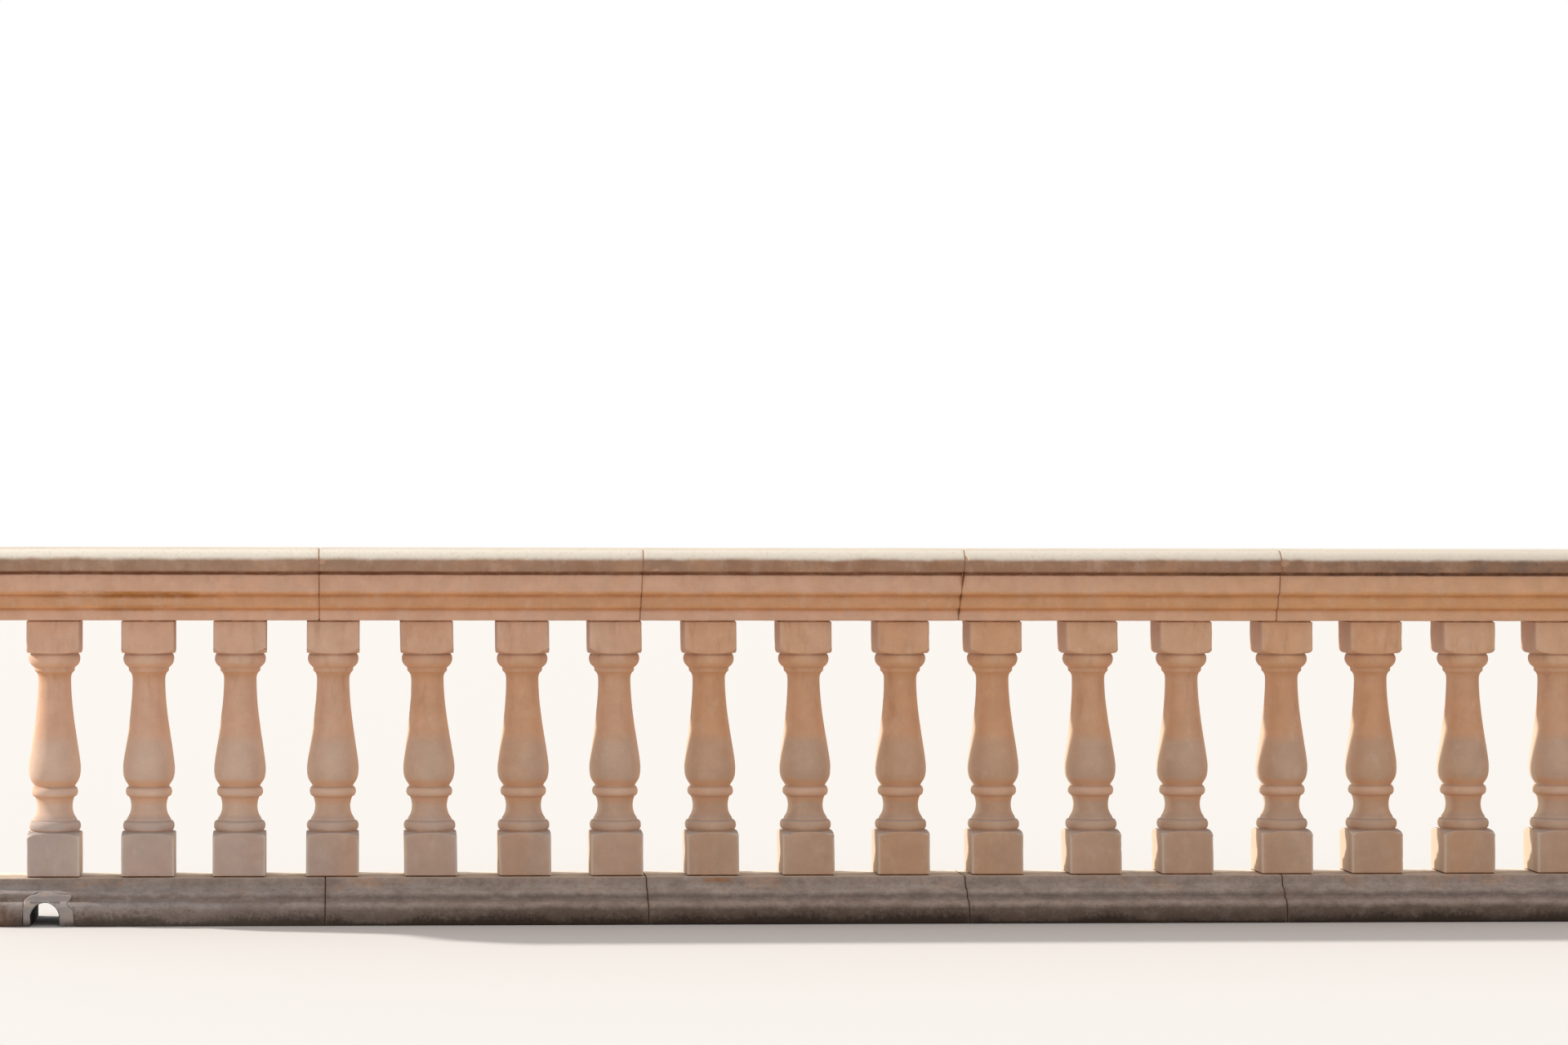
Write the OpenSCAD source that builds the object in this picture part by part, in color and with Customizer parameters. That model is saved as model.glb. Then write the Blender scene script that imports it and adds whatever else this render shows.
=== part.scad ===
// Stone balustrade: turned balusters between a moulded plinth and a moulded handrail
// X runs along the balustrade, -Y is the front and +Z is up
// The origin lies at floor level under the middle of the run
// Every stone is bedded on thin mortar that stands back from the faces

/* [Run] */
// Number of whole bays, with one handrail stone and one plinth stone to each
bays = 6; // [2:1:6]
// Length of one bay, measured along the handrail from joint to joint
bay_l = 800; // [650:10:950]
// How far the plinth joints lie along from the handrail joints
plinth_shift = 16; // [0:1:40]
// Width of the upright joints between stones
joint_w = 4; // [2:0.5:8]
// Thickness of the mortar bed under and over each baluster
bed_h = 3; // [1:0.5:6]
// How far the mortar stands back from the faces of the stones
mortar_recess = 4; // [1:0.5:8]

/* [Handrail] */
// Width of the top slab
slab_w = 248; // [236:1:280]
// Height of the top slab, down to its lower edge
slab_h = 59; // [50:1:80]
// Height of the slab's upright edge, under the rounded nose
fascia_h = 6; // [4:1:30]
// Depth of the rounded nose, in from the slab's edge
nose_d = 50; // [20:1:60]
// Height of the dark groove under the slab
quirk_h = 6; // [2:1:10]
// Depth of that groove behind the frieze
quirk_d = 5; // [1:1:10]
// Width of the handrail over the flat frieze
frieze_w = 216; // [204:1:230]
// Height of the frieze
frieze_h = 44; // [25:1:60]
// Height of the upper cove
upper_cove_h = 13; // [8:1:26]
// Width over the band between the coves
band_w = 190; // [184:1:200]
// Height of that band
band_h = 23; // [8:1:30]
// Height of the lower cove
lower_cove_h = 11; // [8:1:20]
// How deep both coves cut behind the band below them
cove_bite = 3; // [1:0.5:5]
// Width over the bottom band
foot_band_w = 166; // [150:1:176]
// Height of the bottom band
foot_band_h = 25; // [12:1:40]

/* [Plinth] */
// Width of the plinth at the floor
base_w = 260; // [240:1:320]
// Height of its upright lower face
base_h = 44; // [20:1:70]
// Height of the round over that face
base_round_h = 17; // [6:1:24]
// Width over the middle step
step_w = 210; // [196:1:230]
// Height of the middle step's upright face
step_h = 14; // [8:1:30]
// Height of the reversed curve over the step
cyma_h = 20; // [10:1:30]
// Width over the top band
top_band_w = 162; // [146:1:180]
// Height of the top band
top_band_h = 20; // [12:1:40]
// Rounding of the band's top edge
top_band_r = 6; // [2:1:10]

/* [Baluster] */
// Distance from the left end of the run to the first baluster's even place
first_x = 125; // [100:1:300]
// Even spacing of the balusters
pitch = 237.5; // [215:0.5:300]
// Side of the square stone that each baluster is turned from
blank_w = 132; // [124:1:140]
// Height of a baluster without its mortar beds
baluster_h = 631; // [560:1:800]
// Rounding of the upright edges of the square blocks
block_arris = 4; // [1:0.5:8]
// Height of the foot block at the middle of a face
foot_block_h = 107; // [60:1:140]
// Height of the head block at the middle of a face
head_block_h = 80; // [50:1:120]
// How far the turned shoulders fall away towards the block corners
shoulder_h = 23; // [12:1:32]
// Radius of the sharp creases beside the blocks
crease_r = 60; // [54:0.5:61]
// Height of those creases
crease_h = 2; // [1:0.5:4]
// Greatest radius of the large ring over the foot block
torus_r = 65.5; // [62:0.5:66]
// Height of the large ring
torus_h = 25; // [16:1:36]
// Radius of the fillet over the large ring
fillet_r = 55.5; // [54:0.5:59]
// Height of the fillet
fillet_h = 4; // [2:1:8]
// Least radius of the hollow between the two rings
hollow_r = 44.5; // [38:0.5:48]
// Height of the hollow
hollow_h = 55; // [44:1:80]
// Radius where the small ring meets the hollow and the belly
ring_seat_r = 49.5; // [48.5:0.5:52]
// Greatest radius of the small ring
ring_r = 58.5; // [54:0.5:64]
// Height of the small ring
ring_h = 26; // [14:1:32]
// Greatest radius of the belly
belly_r = 65.3; // [60:0.1:66]
// Height from the small ring to the widest part of the belly
belly_rise = 45; // [28:1:60]
// Least radius of the neck
neck_r = 41; // [36:0.5:44]
// Height from the narrowest part of the neck to the collar
neck_flare_h = 19; // [10:1:40]
// Radius of the collar where the neck ends
collar_r = 50; // [45:0.5:52]
// Height of the collar
collar_h = 10; // [2:1:16]
// Radius where the collar meets the bell
bell_foot_r = 52; // [49:0.5:56]
// Greatest radius of the bell under the head block
bell_r = 64.5; // [62:0.5:66]
// Height of the bell
bell_h = 33; // [18:1:40]

/* [Drain] */
// Distance from the left end of the run to the middle of the drain
drain_x = 128; // [90:1:500]
// Width of the drain
drain_w = 70; // [40:1:100]
// Height of the drain to the top of its arch
drain_h = 58; // [52:1:80]
// Depth of the mortar repair round the drain, in from the plinth's lower face
patch_depth = 45; // [40:1:60]

/* [Hidden] */
$fn = 96;

// Number of straight pieces that stand for each round stretch of an outline
ring_steps = 5;
curve_steps = 7;
shaft_steps = 14;

// Heights that follow from the members
plinth_h = base_h + base_round_h + step_h + cyma_h + top_band_h;
rail_h = slab_h + quirk_h + frieze_h + upper_cove_h + band_h + lower_cove_h + foot_band_h;
rail_z = plinth_h + baluster_h + 2 * bed_h;
run_l = bays * bay_l;
left_x = -run_l / 2;

// How far each of the first balusters stands off its even place, as it was set by hand
set_offs = [18, 14, 3, -3, -2, -3, -10, -9, -7, -2, -5, 3, 1, 18, 9, 8, 7];
end_margin = blank_w / 2 + 10;
balusters = floor((run_l - first_x - end_margin) / pitch) + 1;

// Outline of the mortar repair, as distances from the drain's middle and heights over the floor
patch_outline = [
    [-56, 0], [-53, 64], [-38, 76], [-17, 82], [16, 84], [34, 78],
    [66, 77], [64, 69], [55, 55], [71, 40], [74, 0]
];

stone_colour = [0.80, 0.62, 0.51];
rail_colour = [0.83, 0.68, 0.56];
plinth_colour = [0.52, 0.45, 0.40];
mortar_colour = [0.47, 0.36, 0.28];
patch_colour = [0.60, 0.53, 0.47];

function two_digits(i) = str(i < 10 ? "0" : "", i);
function handrail_name(i) = str("handrail_", i);
function plinth_name(i) = str("plinth_", i);
function baluster_name(i) = str("baluster_", two_digits(i));

// Quarter of an ellipse from a to b that leaves a level and reaches b upright, without a
function level_first(a, b, n) = [
    for (k = [1:n]) let (t = 90 * k / n)
        [a[0] + (b[0] - a[0]) * sin(t), a[1] + (b[1] - a[1]) * (1 - cos(t))]
];

// Quarter of an ellipse from a to b that leaves a upright and reaches b level, without a
function upright_first(a, b, n) = [
    for (k = [1:n]) let (t = 90 * k / n)
        [a[0] + (b[0] - a[0]) * (1 - cos(t)), a[1] + (b[1] - a[1]) * sin(t)]
];

// Smooth curve from a to d that is drawn towards b and c on its way, without a
function curve(a, b, c, d, n) = [
    for (k = [1:n]) let (t = k / n, s = 1 - t)
        s * s * s * a + 3 * s * s * t * b + 3 * s * t * t * c + t * t * t * d
];

// Half-round from a over the point p to b, without a
function half_round(a, p, b, n) = concat(level_first(a, p, n), upright_first(p, b, n));

// One side of the handrail: half widths and depths under its top, from the top down
upper_cove_z = slab_h + quirk_h + frieze_h;
band_z = upper_cove_z + upper_cove_h;
lower_cove_z = band_z + band_h;
foot_band_z = lower_cove_z + lower_cove_h;
slab_edge = 3;
band_edge = 4;
rail_side = concat(
    [[slab_w / 2 - nose_d, 0]],
    level_first([slab_w / 2 - nose_d, 0], [slab_w / 2, slab_h - fascia_h], curve_steps),
    [
        [slab_w / 2 - 1, slab_h - slab_edge],
        [slab_w / 2 - slab_edge, slab_h],
        [frieze_w / 2 - quirk_d, slab_h],
        [frieze_w / 2 - quirk_d, slab_h + quirk_h - 1],
        [frieze_w / 2, slab_h + quirk_h + 1],
        [frieze_w / 2 - 1, upper_cove_z]
    ],
    upright_first(
        [frieze_w / 2 - 1, upper_cove_z],
        [band_w / 2 - cove_bite, band_z - band_edge], ring_steps
    ),
    [[band_w / 2 - 1, band_z - 1], [band_w / 2, band_z + 2], [band_w / 2 - 1, lower_cove_z]],
    upright_first(
        [band_w / 2 - 1, lower_cove_z],
        [foot_band_w / 2 - cove_bite, foot_band_z - band_edge], ring_steps
    ),
    [
        [foot_band_w / 2 - 1, foot_band_z - 1],
        [foot_band_w / 2, foot_band_z + 2],
        [foot_band_w / 2, rail_h - 2],
        [foot_band_w / 2 - 2, rail_h]
    ]
);

// One side of the plinth: half widths and heights over the floor, from the floor up
round_z = base_h + base_round_h;
cyma_z = round_z + step_h;
top_band_z = cyma_z + cyma_h;
step_edge = 2;
plinth_side = concat(
    [[base_w / 2 - 2, 0], [base_w / 2, 3], [base_w / 2 - 1, base_h]],
    upright_first([base_w / 2 - 1, base_h], [step_w / 2 + 1, round_z], curve_steps),
    [[step_w / 2, round_z + step_edge], [step_w / 2, cyma_z]],
    curve(
        [step_w / 2, cyma_z], [step_w / 2, cyma_z + cyma_h * 0.55],
        [top_band_w / 2, top_band_z - cyma_h * 0.55], [top_band_w / 2, top_band_z], curve_steps
    ),
    [[top_band_w / 2 - 1, plinth_h - top_band_r]],
    upright_first(
        [top_band_w / 2 - 1, plinth_h - top_band_r],
        [top_band_w / 2 - top_band_r, plinth_h], ring_steps
    )
);

// Turned outline of a baluster: radii and heights over its foot, from the foot up
clear_r = blank_w / sqrt(2) + 2;
torus_z = foot_block_h + crease_h;
fillet_z = torus_z + torus_h;
hollow_z = fillet_z + fillet_h;
ring_z = hollow_z + hollow_h;
belly_z = ring_z + ring_h;
belly_top_z = belly_z + belly_rise;
head_z = baluster_h - head_block_h;
bell_z = head_z - crease_h - bell_h;
collar_z = bell_z - collar_h;
neck_z = collar_z - neck_flare_h;
shaft_h = neck_z - belly_top_z;
hollow_low_z = hollow_z + hollow_h * 0.55;
turned_side = concat(
    [[clear_r, 0], [clear_r, foot_block_h - shoulder_h]],
    upright_first(
        [clear_r, foot_block_h - shoulder_h], [crease_r + 2, foot_block_h], curve_steps
    ),
    [[crease_r, foot_block_h], [crease_r, torus_z]],
    half_round(
        [crease_r, torus_z], [torus_r, torus_z + torus_h / 2], [fillet_r + 2, fillet_z],
        ring_steps
    ),
    [[fillet_r, fillet_z], [fillet_r, hollow_z]],
    curve(
        [fillet_r, hollow_z], [fillet_r - 5, hollow_z + hollow_h * 0.12],
        [hollow_r, hollow_low_z - hollow_h * 0.27], [hollow_r, hollow_low_z], curve_steps
    ),
    curve(
        [hollow_r, hollow_low_z], [hollow_r, hollow_low_z + hollow_h * 0.25],
        [ring_seat_r - 2, ring_z - hollow_h * 0.08], [ring_seat_r, ring_z], ring_steps
    ),
    half_round(
        [ring_seat_r, ring_z], [ring_r, ring_z + ring_h / 2], [ring_seat_r + 1, belly_z],
        ring_steps
    ),
    curve(
        [ring_seat_r + 1, belly_z], [ring_seat_r + 5, belly_z + belly_rise * 0.25],
        [belly_r, belly_top_z - belly_rise * 0.75], [belly_r, belly_top_z], curve_steps
    ),
    curve(
        [belly_r, belly_top_z], [belly_r, belly_top_z + shaft_h * 0.14],
        [neck_r, neck_z - shaft_h * 0.4], [neck_r, neck_z], shaft_steps
    ),
    curve(
        [neck_r, neck_z], [neck_r, neck_z + neck_flare_h * 0.4],
        [neck_r + 1.5, collar_z - neck_flare_h * 0.2], [collar_r, collar_z], ring_steps
    ),
    [[collar_r + 1, bell_z], [bell_foot_r, bell_z]],
    curve(
        [bell_foot_r, bell_z], [bell_foot_r + 6, bell_z + bell_h * 0.1],
        [bell_r, bell_z + bell_h * 0.36], [bell_r, bell_z + bell_h * 0.6], ring_steps
    ),
    upright_first(
        [bell_r, bell_z + bell_h * 0.6], [crease_r, bell_z + bell_h], ring_steps
    ),
    [[crease_r, head_z], [crease_r + 2, head_z]],
    level_first(
        [crease_r + 2, head_z], [clear_r, head_z + shoulder_h], curve_steps
    ),
    [[clear_r, baluster_h]]
);

// Square outline with rounded corners
function rounded_square(w, r, n) = [
    for (q = [0:3], k = [0:n]) let (t = 90 * (q + k / n), c = w / 2 - r)
        [
            c * (q == 0 || q == 3 ? 1 : -1) + r * cos(t),
            c * (q < 2 ? 1 : -1) + r * sin(t)
        ]
];

function mirrored(side) = [for (k = [len(side) - 1:-1:0]) [-side[k][0], side[k][1]]];
function both_sides(side) = concat(side, mirrored(side));

// Side of the mortar in an upright joint, set back from a side of the stones of height h
function set_back(side, h) = [
    for (p = side) [p[0] - mortar_recess, min(max(p[1], mortar_recess), h - mortar_recess)]
];

// Places along X
function handrail_joint_x(i) = left_x + i * bay_l;
function plinth_joint_x(i) = left_x + i * bay_l + (i > 0 && i < bays ? plinth_shift : 0);
function set_off(i) = i <= len(set_offs) ? set_offs[i - 1] : 0;
function baluster_x(i) = left_x + first_x + (i - 1) * pitch + set_off(i);
drain_mid_x = left_x + drain_x;

// A length of moulding with the given outline, from x0 to x1
module moulding(outline, x0, x1) {
    translate([x0, 0, 0])
        rotate([90, 0, 90])
            linear_extrude(height = x1 - x0)
                polygon(outline);
}

// Half a joint's width is taken from each end that meets another stone
function stone_start(x, i) = x + (i == 1 ? 0 : joint_w / 2);
function stone_end(x, i) = x - (i == bays ? 0 : joint_w / 2);

function rail_points(side) = [for (p = both_sides(side)) [p[0], rail_z + rail_h - p[1]]];

module handrail(i) {
    x0 = stone_start(handrail_joint_x(i - 1), i);
    x1 = stone_end(handrail_joint_x(i), i);
    color(rail_colour)
        moulding(rail_points(rail_side), x0, x1);
}

module plinth(i) {
    x0 = stone_start(plinth_joint_x(i - 1), i);
    x1 = stone_end(plinth_joint_x(i), i);
    color(plinth_colour)
        difference() {
            moulding(both_sides(plinth_side), x0, x1);
            if (i == 1) {
                drain_passage();
                patch_block();
            }
        }
}

// The drain's space, with upright sides and a half-round top, through the whole plinth
module drain_passage() {
    rise = drain_h - drain_w / 2;
    translate([drain_mid_x, base_w / 2 + 1, 0])
        rotate([90, 0, 0]) {
            translate([0, rise, 0])
                cylinder(d = drain_w, h = base_w + 2);
            translate([-drain_w / 2, -1, 0])
                cube([drain_w, rise + 1, base_w + 2]);
        }
}

// The pocket in the plinth's front that the mortar repair fills
module patch_block() {
    translate([drain_mid_x, -base_w / 2 + patch_depth, 0])
        rotate([90, 0, 0])
            linear_extrude(height = patch_depth + 1)
                polygon(patch_outline);
}

// The repair is trowelled smooth, from the curve over the step down to the lower face
patch_side = [
    [base_w / 2 - 3, 0],
    [base_w / 2 - 2, base_h + 3],
    [base_w / 2 - 9, base_h + 12],
    [step_w / 2 + 6, round_z + 2],
    [step_w / 2 + 3, cyma_z - 2],
    [step_w / 2 - 12, cyma_z + cyma_h * 0.75],
    [top_band_w / 2, top_band_z]
];

module drain_mortar() {
    color(patch_colour)
        difference() {
            intersection() {
                patch_block();
                moulding(both_sides(patch_side), drain_mid_x - bay_l / 4, drain_mid_x + bay_l / 4);
            }
            drain_passage();
        }
}

module baluster(i) {
    color(stone_colour)
        translate([baluster_x(i), 0, plinth_h + bed_h])
            intersection() {
                linear_extrude(height = baluster_h)
                    polygon(rounded_square(blank_w, block_arris, 3));
                rotate_extrude()
                    polygon(concat([[0, 0]], turned_side, [[0, baluster_h]]));
            }
}

// Mortar beds of all the balusters at one height
module beds(z) {
    w = blank_w - 2 * mortar_recess;
    color(mortar_colour)
        for (i = [1:balusters])
            translate([baluster_x(i) - w / 2, -w / 2, z])
                cube([w, w, bed_h]);
}

module handrail_mortar() {
    color(mortar_colour)
        for (i = [1:bays - 1])
            moulding(
                rail_points(set_back(rail_side, rail_h)),
                handrail_joint_x(i) - joint_w / 2, handrail_joint_x(i) + joint_w / 2
            );
}

module plinth_mortar() {
    color(mortar_colour)
        for (i = [1:bays - 1])
            moulding(
                both_sides(set_back(plinth_side, plinth_h)),
                plinth_joint_x(i) - joint_w / 2, plinth_joint_x(i) + joint_w / 2
            );
}

for (i = [1:bays])
    handrail(i);
for (i = [1:bays])
    plinth(i);
for (i = [1:balusters])
    baluster(i);
handrail_mortar();
plinth_mortar();
beds(rail_z - bed_h);  // head_mortar
beds(plinth_h);  // foot_mortar
drain_mortar();
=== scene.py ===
"""Weathered stone balustrade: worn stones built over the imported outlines, and their materials.

Metres, in the row frame: X along the run, -Y the front, Z up. Each kind of stone has its
outline from one CAD node, and each stone has its place from its own. A stone is a dense grid
of points, worn inwards. Leaning joints and balusters pass the sides of their nodes a little,
and the whole stays in the CAD model's box.
"""

import math

import bmesh
import bpy
import numpy as np
from mathutils import Matrix, Vector
from mathutils.kdtree import KDTree


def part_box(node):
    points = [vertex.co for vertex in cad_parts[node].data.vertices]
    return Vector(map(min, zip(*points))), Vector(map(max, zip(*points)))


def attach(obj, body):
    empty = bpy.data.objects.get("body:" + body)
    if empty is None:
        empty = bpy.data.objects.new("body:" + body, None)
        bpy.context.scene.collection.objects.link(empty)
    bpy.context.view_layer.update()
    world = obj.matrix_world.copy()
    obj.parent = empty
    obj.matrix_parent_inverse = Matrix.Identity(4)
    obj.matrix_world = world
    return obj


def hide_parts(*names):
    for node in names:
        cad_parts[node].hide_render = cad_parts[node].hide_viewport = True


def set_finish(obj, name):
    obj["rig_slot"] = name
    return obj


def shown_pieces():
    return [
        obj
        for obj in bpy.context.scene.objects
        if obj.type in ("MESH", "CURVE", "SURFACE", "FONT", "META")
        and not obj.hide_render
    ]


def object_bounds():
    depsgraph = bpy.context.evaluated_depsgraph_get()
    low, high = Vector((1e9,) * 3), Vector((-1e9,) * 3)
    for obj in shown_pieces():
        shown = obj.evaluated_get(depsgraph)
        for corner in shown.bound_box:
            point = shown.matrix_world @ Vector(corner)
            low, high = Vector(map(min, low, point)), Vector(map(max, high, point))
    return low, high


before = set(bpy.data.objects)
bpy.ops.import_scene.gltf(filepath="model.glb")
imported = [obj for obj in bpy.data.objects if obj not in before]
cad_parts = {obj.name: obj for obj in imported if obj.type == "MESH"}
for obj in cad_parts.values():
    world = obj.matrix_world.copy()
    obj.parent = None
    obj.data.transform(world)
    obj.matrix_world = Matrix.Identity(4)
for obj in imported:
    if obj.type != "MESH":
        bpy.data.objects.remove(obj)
cad_low, cad_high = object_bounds()

MM = 0.001
BAYS = 6
JOINT_W = 2.8 * MM  # an upright joint, between the faces of two stones
SEED = 31
POINT_VALUES = ("arris", "crease", "fresh", "joint")

RAIL_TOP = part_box("handrail_1")[1].z
RAIL_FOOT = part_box("handrail_1")[0].z
PLINTH_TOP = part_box("plinth_2")[1].z
LEFT_END = cad_low.x
RIGHT_END = cad_high.x


def add_object(name, data):
    """A new object in the scene."""
    piece = bpy.data.objects.new(name, data)
    bpy.context.collection.objects.link(piece)
    return piece


# Camera, as fitted to the photograph, with its angles in degrees

LENS, SENSOR_W = 90.46, 36.0
SHIFT_X = 0.15
CAMERA_AT = (-1.5351, -9.8559, 1.0733)
CAMERA_TURN, CAMERA_TILT, CAMERA_ROLL = -2.953, -0.450, 0.129

camera_data = bpy.data.cameras.new("camera")
camera_data.sensor_width = SENSOR_W
camera_data.lens = LENS
camera_data.shift_x = SHIFT_X
camera = add_object("camera", camera_data)
camera.matrix_world = (
    Matrix.Translation(CAMERA_AT)
    @ Matrix.Rotation(math.radians(CAMERA_TURN), 4, "Z")
    @ Matrix.Rotation(math.radians(90 + CAMERA_TILT), 4, "X")
    @ Matrix.Rotation(math.radians(CAMERA_ROLL), 4, "Z")
)
bpy.context.scene.camera = camera


# Noise over points in space, the same on each run

# Large odd numbers that scatter the bits of whole numbers
HASH_X, HASH_Y, HASH_Z = 374761393, 668265263, 2246822519
HASH_SEED, HASH_MIX = 747796405, 3266489917


def hashed(ix, iy, iz, seed):
    """A number from 0 to 1 for each whole-number point."""
    h = ix.astype(np.uint32) * np.uint32(HASH_X)
    h ^= iy.astype(np.uint32) * np.uint32(HASH_Y)
    h ^= iz.astype(np.uint32) * np.uint32(HASH_Z)
    h ^= np.uint32(seed * HASH_SEED % 2**32)
    h ^= h >> np.uint32(15)
    h *= np.uint32(HASH_Z)
    h ^= h >> np.uint32(13)
    h *= np.uint32(HASH_MIX)
    h ^= h >> np.uint32(16)
    return h / (2**32 - 1.0)


def noise(points, size, seed):
    """Smooth noise from -1 to 1 with features of that size."""
    p = points / size + 100.0
    cell = np.floor(p).astype(np.int64)
    f = p - cell
    f = f * f * (3 - 2 * f)
    total = 0
    for dx in (0, 1):
        for dy in (0, 1):
            for dz in (0, 1):
                weight = (
                    (f[..., 0] if dx else 1 - f[..., 0])
                    * (f[..., 1] if dy else 1 - f[..., 1])
                    * (f[..., 2] if dz else 1 - f[..., 2])
                )
                corner = hashed(cell[..., 0] + dx, cell[..., 1] + dy, cell[..., 2] + dz, seed)
                total = total + weight * corner
    return total * 2 - 1


def fractal(points, size, octaves, seed):
    """Noise with finer and weaker layers added to it."""
    total, strength, scale = 0, 1.0, 0.0
    for k in range(octaves):
        total = total + strength * noise(points, size / 2**k, seed + k)
        scale += strength
        strength *= 0.5
    return total / scale


def ramp(value, low, high):
    """0 below low, 1 above high and smooth between."""
    t = np.clip((value - low) / (high - low), 0, 1)
    return t * t * (3 - 2 * t)


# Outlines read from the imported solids


def section(node, point, normal):
    """The closed outline where a plane cuts a CAD node, as points in order."""
    bm = bmesh.new()
    bm.from_mesh(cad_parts[node].data)
    bmesh.ops.remove_doubles(bm, verts=bm.verts, dist=1e-5)
    cut = bmesh.ops.bisect_plane(
        bm, geom=bm.verts[:] + bm.edges[:] + bm.faces[:], dist=1e-6, plane_co=point, plane_no=normal
    )["geom_cut"]
    links = {}
    for e in cut:
        if isinstance(e, bmesh.types.BMEdge):
            a, b = e.verts
            links.setdefault(a, []).append(b)
            links.setdefault(b, []).append(a)
    start = min(links, key=lambda v: (round(v.co.x, 6), round(v.co.y, 6), round(v.co.z, 6)))
    loop, last, here = [start], None, start
    while True:
        ahead = [v for v in links[here] if v is not last]
        last, here = here, ahead[0]
        if here is start:
            break
        loop.append(here)
    points = np.array([v.co[:] for v in loop])
    bm.free()
    return points


def tidy_outline(points, closed, tol=2e-5):
    """Leaves out the points that lie on a straight line between their neighbours."""
    kept = [tuple(p) for p in points]
    changed = True
    while changed:
        changed = False
        for i in range(len(kept)):
            if not closed and i in (0, len(kept) - 1):
                continue
            a, b, c = (np.array(kept[(i + k) % len(kept)]) for k in (-1, 0, 1))
            chord = c - a
            length = np.linalg.norm(chord)
            away = abs(chord[0] * (b - a)[1] - chord[1] * (b - a)[0]) / max(length, 1e-9)
            if away < tol and np.dot(b - a, c - b) > 0:
                kept.pop(i)
                changed = True
                break
    return np.array(kept)


def turn(a, b, c):
    """Angle in degrees by which an outline turns at b."""
    u, v = b - a, c - b
    return abs(math.degrees(math.atan2(u[0] * v[1] - u[1] * v[0], np.dot(u, v))))


CORNER = 28.0  # degrees, from which an outline is sharp at a point
FLAT_RATIO = 3  # a segment this much longer than the next one is a flat that runs into a curve
BESIDE_CORNER = 1.6 * MM


def tangent(a, b, c):
    """Direction of a round outline at b, which is a flat's own where a flat ends there."""
    before, after = np.linalg.norm(b - a), np.linalg.norm(c - b)
    if max(before, after) > FLAT_RATIO * min(before, after):
        return (b - a) / before if before > after else (c - b) / after
    mixed = (b - a) / before * after + (c - b) / after * before
    return mixed / np.linalg.norm(mixed)


def fine_outline(points, closed, step):
    """The outline with a point at most every step, round where it bends a little and with a
    close point on either side of a sharp corner. step depends on the place."""
    n = len(points)
    fine = []
    segments = n if closed else n - 1
    for i in range(segments):
        p0, p1, p2, p3 = (points[(i + k) % n] for k in (-1, 0, 1, 2))
        first = not closed and i == 0
        last = not closed and i == segments - 1
        sharp1 = first or turn(p0, p1, p2) > CORNER
        sharp2 = last or turn(p1, p2, p3) > CORNER
        length = np.linalg.norm(p2 - p1)
        straight = (p2 - p1) / length
        t1 = straight if sharp1 else tangent(p0, p1, p2)
        t2 = straight if sharp2 else tangent(p1, p2, p3)
        count = max(1, math.ceil(length / step((p1 + p2) / 2)))
        cuts = [k / count for k in range(count)]
        near = BESIDE_CORNER / length
        room = near < 0.45 / count
        if sharp1 and not first and room:
            cuts.append(near)
        if sharp2 and not last and room:
            cuts.append(1 - near)
        for t in sorted(cuts):
            h1, h2 = 2 * t**3 - 3 * t**2 + 1, t**3 - 2 * t**2 + t
            h3, h4 = -2 * t**3 + 3 * t**2, t**3 - t**2
            fine.append(h1 * p1 + h2 * length * t1 + h3 * p2 + h4 * length * t2)
    if not closed:
        fine.append(points[-1])
    return np.array(fine)


# Grids of points: axis 0 runs along the piece, axis 1 goes round it and closes on itself


def grid_normals(grid):
    """Outward unit normals of a closed-round grid."""
    along = np.empty_like(grid)
    along[1:-1] = grid[2:] - grid[:-2]
    along[0] = grid[1] - grid[0]
    along[-1] = grid[-1] - grid[-2]
    round_ = np.roll(grid, -1, axis=1) - np.roll(grid, 1, axis=1)
    n = np.cross(along, round_)
    n /= np.maximum(np.linalg.norm(n, axis=2, keepdims=True), 1e-12)
    middle = grid.mean(axis=1, keepdims=True)
    if np.sum(n * (grid - middle)) < 0:
        n = -n
    return n


def bend(grid):
    """The way from each point to a mean of its neighbours, where the nearer ones weigh more."""
    up = np.concatenate([grid[1:], grid[-1:]])
    down = np.concatenate([grid[:1], grid[:-1]])
    left, right = np.roll(grid, 1, axis=1), np.roll(grid, -1, axis=1)

    def between(a, b):
        da = np.linalg.norm(a - grid, axis=2, keepdims=True) + 1e-7
        db = np.linalg.norm(b - grid, axis=2, keepdims=True) + 1e-7
        return (a * db + b * da) / (da + db) - grid

    v = between(up, down)
    v[0] = v[-1] = 0
    return (v + between(left, right)) / 2


LEAST_WEAR, MOST_WEAR = 0.02, 0.95


def wear(grid, rounds, mean, varied, size, seed):
    """Rounds off what stands out, more in some places than in others, and never outwards."""
    mask = np.clip(mean + varied * fractal(grid, size, 3, seed), LEAST_WEAR, MOST_WEAR)[..., None]
    for _ in range(rounds):
        n = grid_normals(grid)
        v = bend(grid)
        inward = np.minimum(np.sum(v * n, axis=2, keepdims=True), 0)
        grid = grid + mask * inward * n
    return grid


FULL_BEND = 0.9 * MM  # how far a point stands out on a full arris, or lies back in a full crease


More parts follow.
